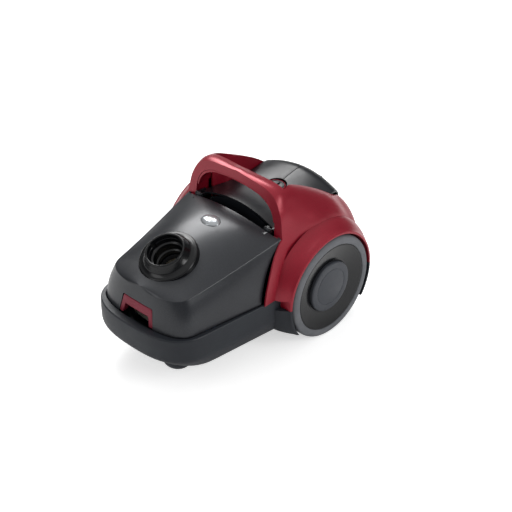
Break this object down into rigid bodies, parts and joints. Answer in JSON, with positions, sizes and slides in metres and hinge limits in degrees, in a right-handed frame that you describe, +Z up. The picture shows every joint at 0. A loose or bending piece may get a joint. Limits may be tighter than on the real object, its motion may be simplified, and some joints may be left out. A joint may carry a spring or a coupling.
{
  "type": "canister vacuum cleaner",
  "caption": "Bagged canister vacuum cleaner with a hinged front cover, hose socket, arched carrying handle, foot pedals, large rear wheels and a front caster.",
  "frame": {"origin": "on the ground under the middle of the overall box", "axes": "+Z up, -Y towards the bumper nose, +X the left-hand side seen from the rear"},
  "size_m": [0.279, 0.41, 0.2644],
  "materials": {
    "cover_metallic_plastic": "metallic graphite, semi-gloss",
    "dark_plastic": "fine textured dark grey",
    "black_gloss": "polished black",
    "black_plastic": "matt black",
    "red_gloss": "metallic red lacquer",
    "hub_plastic": "satin graphite",
    "tyre_rubber": "soft grey rubber",
    "steel": "plain bright steel",
    "seal_rubber": "soft black rubber",
    "silver_lens": "silvered clear lens",
    "flag_plastic": "signal red",
    "bag_fleece": "non-woven fleece",
    "bag_card": "pressed card",
    "holder_plastic": "blue-grey plastic",
    "filter_foam": "open foam",
    "filter_paper": "pleated paper",
    "motor_steel": "pressed and plated",
    "reel_plastic": "light grey plastic",
    "board": "green laminate"
  },
  "bodies": {
    "chassis": {"axle_left": "steel", "axle_right": "steel", "bag_holder": "holder_plastic", "bag_plate": "bag_card", "base_housing": "dark_plastic", "brake_pin": "steel", "bulkhead": "dark_plastic", "circuit_board": "board", "cord_outlet": "black_plastic", "deck_panel": "dark_plastic", "dust_bag": "bag_fleece", "exhaust_filter": "filter_paper", "exhaust_filter_frame": "dark_plastic", "fan_cover": "motor_steel", "fan_seal_ring": "seal_rubber", "glide_left": "black_plastic", "glide_right": "black_plastic", "handle_liner": "red_gloss", "lid_hinge_pin_left": "steel", "lid_hinge_pin_right": "steel", "motor_body": "motor_steel", "motor_filter": "filter_foam", "motor_filter_grid": "dark_plastic", "motor_gasket": "seal_rubber", "motor_housing": "dark_plastic", "motor_mount_ring": "seal_rubber", "parking_fork": "black_plastic", "power_pedal_spring": "steel", "power_switch": "black_plastic", "rear_shell": "red_gloss", "reel_bracket": "dark_plastic", "reel_spindle": "steel", "reel_spring_case": "dark_plastic", "rewind_pedal_spring": "steel"},
    "lid_body": {"lid": "cover_metallic_plastic", "latch_pin": "steel", "latch_spring": "steel", "inlet_collar": "black_gloss", "inlet_seal": "seal_rubber", "indicator_lens": "silver_lens", "indicator_channel": "dark_plastic"},
    "latch_body": {"lid_latch": "red_gloss"},
    "flag_body": {"indicator_flag": "flag_plastic"},
    "wheel_left_body": {"tyre_left": "tyre_rubber", "wheel_dish_left": "black_gloss", "hub_disc_left": "hub_plastic"},
    "wheel_right_body": {"tyre_right": "tyre_rubber", "wheel_dish_right": "black_gloss", "hub_disc_right": "hub_plastic"},
    "caster_swivel_body": {"caster_fork": "black_plastic", "caster_pin": "steel"},
    "caster_wheel_body": {"caster_wheel": "tyre_rubber"},
    "power_pedal_body": {"power_pedal": "dark_plastic"},
    "rewind_pedal_body": {"rewind_pedal": "dark_plastic"},
    "knob_body": {"suction_knob": "red_gloss"},
    "rotor_body": {"rotor_shaft": "steel", "impeller": "motor_steel"},
    "reel_body": {"cord_reel": "reel_plastic"},
    "brake_body": {"brake_lever": "black_plastic"},
    "grille_body": {"exhaust_grille": "black_plastic"}
  },
  "joints": [
    {"name": "lid_hinge", "type": "hinge", "parent": "chassis", "child": "lid_body", "pos_m": [0, 0.0165, 0.1965], "axis": [-1, 0, 0], "range_deg": [0, 70]},
    {"name": "latch_pivot", "type": "hinge", "parent": "lid_body", "child": "latch_body", "pos_m": [0, -0.174, 0.128], "axis": [-1, 0, 0], "range_deg": [0, 5.5], "stiffness_Nm_per_rad": 0.05, "springref_deg": -11.46},
    {"name": "indicator_slide", "type": "slide", "parent": "lid_body", "child": "flag_body", "axis": [0, 0.995, 0.0998], "range_m": [0, 0.005], "stiffness_N_per_m": 4, "springref_m": -0.002},
    {"name": "left_wheel_spin", "type": "hinge", "parent": "chassis", "child": "wheel_left_body", "pos_m": [0.1121, 0.09, 0.0855], "axis": [1, 0, 0], "continuous": true},
    {"name": "right_wheel_spin", "type": "hinge", "parent": "chassis", "child": "wheel_right_body", "pos_m": [-0.1121, 0.09, 0.0855], "axis": [1, 0, 0], "continuous": true},
    {"name": "caster_swivel", "type": "hinge", "parent": "chassis", "child": "caster_swivel_body", "pos_m": [0, -0.113, 0.05], "axis": [0, 0, 1], "continuous": true},
    {"name": "caster_wheel_spin", "type": "hinge", "parent": "caster_swivel_body", "child": "caster_wheel_body", "pos_m": [0, -0.105, 0.015], "axis": [1, 0, 0], "continuous": true},
    {"name": "power_pedal_press", "type": "slide", "parent": "chassis", "child": "power_pedal_body", "axis": [0, 0, -1], "range_m": [0, 0.005], "stiffness_N_per_m": 600, "springref_m": -0.003, "deforming": ["power_pedal_spring"]},
    {"name": "rewind_pedal_press", "type": "slide", "parent": "chassis", "child": "rewind_pedal_body", "axis": [0, 0, -1], "range_m": [0, 0.005], "stiffness_N_per_m": 600, "springref_m": -0.003, "deforming": ["rewind_pedal_spring"]},
    {"name": "brake_rocker", "type": "hinge", "parent": "chassis", "child": "brake_body", "pos_m": [0.03835, 0.118, 0.1615], "axis": [-1, 0, 0], "range_deg": [0, 16.5]},
    {"name": "suction_knob_turn", "type": "hinge", "parent": "chassis", "child": "knob_body", "pos_m": [0, 0.109, 0.18875], "axis": [0, 0, 1], "range_deg": [-135, 135]},
    {"name": "motor_spin", "type": "hinge", "parent": "chassis", "child": "rotor_body", "pos_m": [-0.0435, 0.08175, 0.0925], "axis": [0, 1, 0], "continuous": true},
    {"name": "cord_reel_spin", "type": "hinge", "parent": "chassis", "child": "reel_body", "pos_m": [0.0655, 0.106, 0.0995], "axis": [1, 0, 0], "continuous": true},
    {"name": "grille_hinge", "type": "hinge", "parent": "chassis", "child": "grille_body", "pos_m": [0, 0.198, 0.095], "axis": [-1, 0, 0], "range_deg": [0, 75]}
  ],
  "couplings": [
    {"joint": "brake_rocker", "follows": "rewind_pedal_press", "rad_per_m": 55.85}
  ]
}
